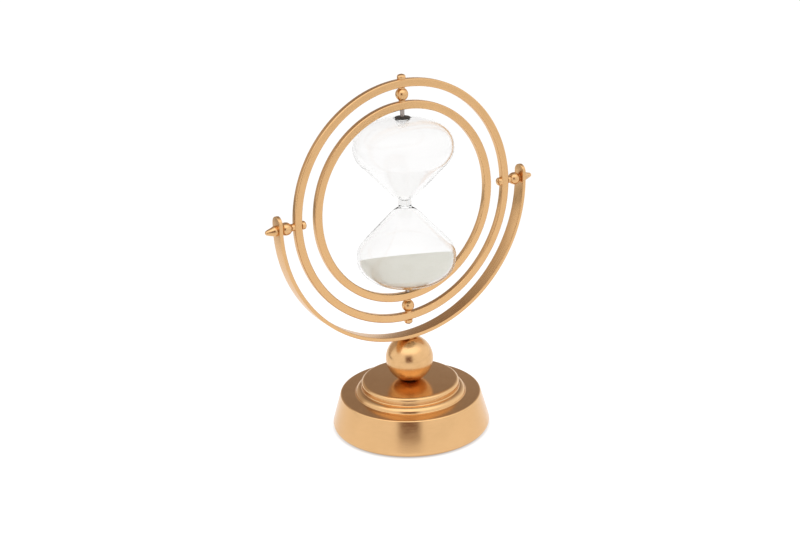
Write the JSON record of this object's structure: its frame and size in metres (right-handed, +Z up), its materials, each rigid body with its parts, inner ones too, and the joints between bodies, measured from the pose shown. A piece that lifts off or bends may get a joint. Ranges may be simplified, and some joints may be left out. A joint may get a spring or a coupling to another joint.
{
  "type": "hourglass",
  "caption": "Tabletop hourglass whose glass vial hangs in two concentric rings that flip and turn inside a half-ring yoke on a round weighted base.",
  "frame": {"origin": "centre of the underside of the felt pad, on the floor plane", "axes": "+Z up through the stem and the axle of the glass; X along the two pivots of the outer ring; +Y away from the viewer's side, square to the flat of the rings"},
  "size_m": [0.2488, 0.1304, 0.298],
  "materials": {
    "gold_metal": "satin brushed, warm pale gold",
    "steel": "plain turned steel",
    "ballast_iron": "rough as cast",
    "rubber": "matt black",
    "felt": "matt felt",
    "glass": "clear blown glass",
    "sand": "fine white sand, matt"
  },
  "bodies": {
    "stand": {"base_shell": "gold_metal", "base_weight": "ballast_iron", "base_plate": "steel", "felt_pad": "felt", "stem_stud": "steel", "stem_washer": "steel", "stem_nut": "steel", "stem_ball": "gold_metal", "stem_collar": "gold_metal", "yoke": "gold_metal"},
    "flip_ring": {"outer_ring": "gold_metal", "pivot_rod_left": "steel", "pivot_rod_right": "steel", "pivot_nut_left": "gold_metal", "pivot_nut_right": "gold_metal", "pivot_collar_left": "gold_metal", "pivot_collar_right": "gold_metal", "pivot_ball_left": "gold_metal", "pivot_ball_right": "gold_metal", "pivot_washer_left": "gold_metal", "pivot_washer_right": "gold_metal", "cap_nut_left": "gold_metal", "cap_nut_right": "gold_metal"},
    "glass_ring": {"inner_ring": "gold_metal", "axle_pin_top": "steel", "axle_pin_bottom": "steel", "axle_nut_top": "gold_metal", "axle_nut_bottom": "gold_metal", "axle_ball_top": "gold_metal", "axle_ball_bottom": "gold_metal", "axle_inner_washer_top": "gold_metal", "axle_inner_washer_bottom": "gold_metal", "axle_outer_washer_top": "gold_metal", "axle_outer_washer_bottom": "gold_metal", "rubber_cup_top": "rubber", "rubber_cup_bottom": "rubber", "glass_vial": "glass", "sand": "sand"}
  },
  "joints": [
    {"name": "ring_flip", "type": "hinge", "parent": "stand", "child": "flip_ring", "pos_m": [0, 0, 0.19407], "axis": [1, 0, 0], "continuous": true},
    {"name": "glass_swivel", "type": "hinge", "parent": "flip_ring", "child": "glass_ring", "pos_m": [0, 0, 0.19407], "axis": [0, 0, 1], "continuous": true}
  ]
}
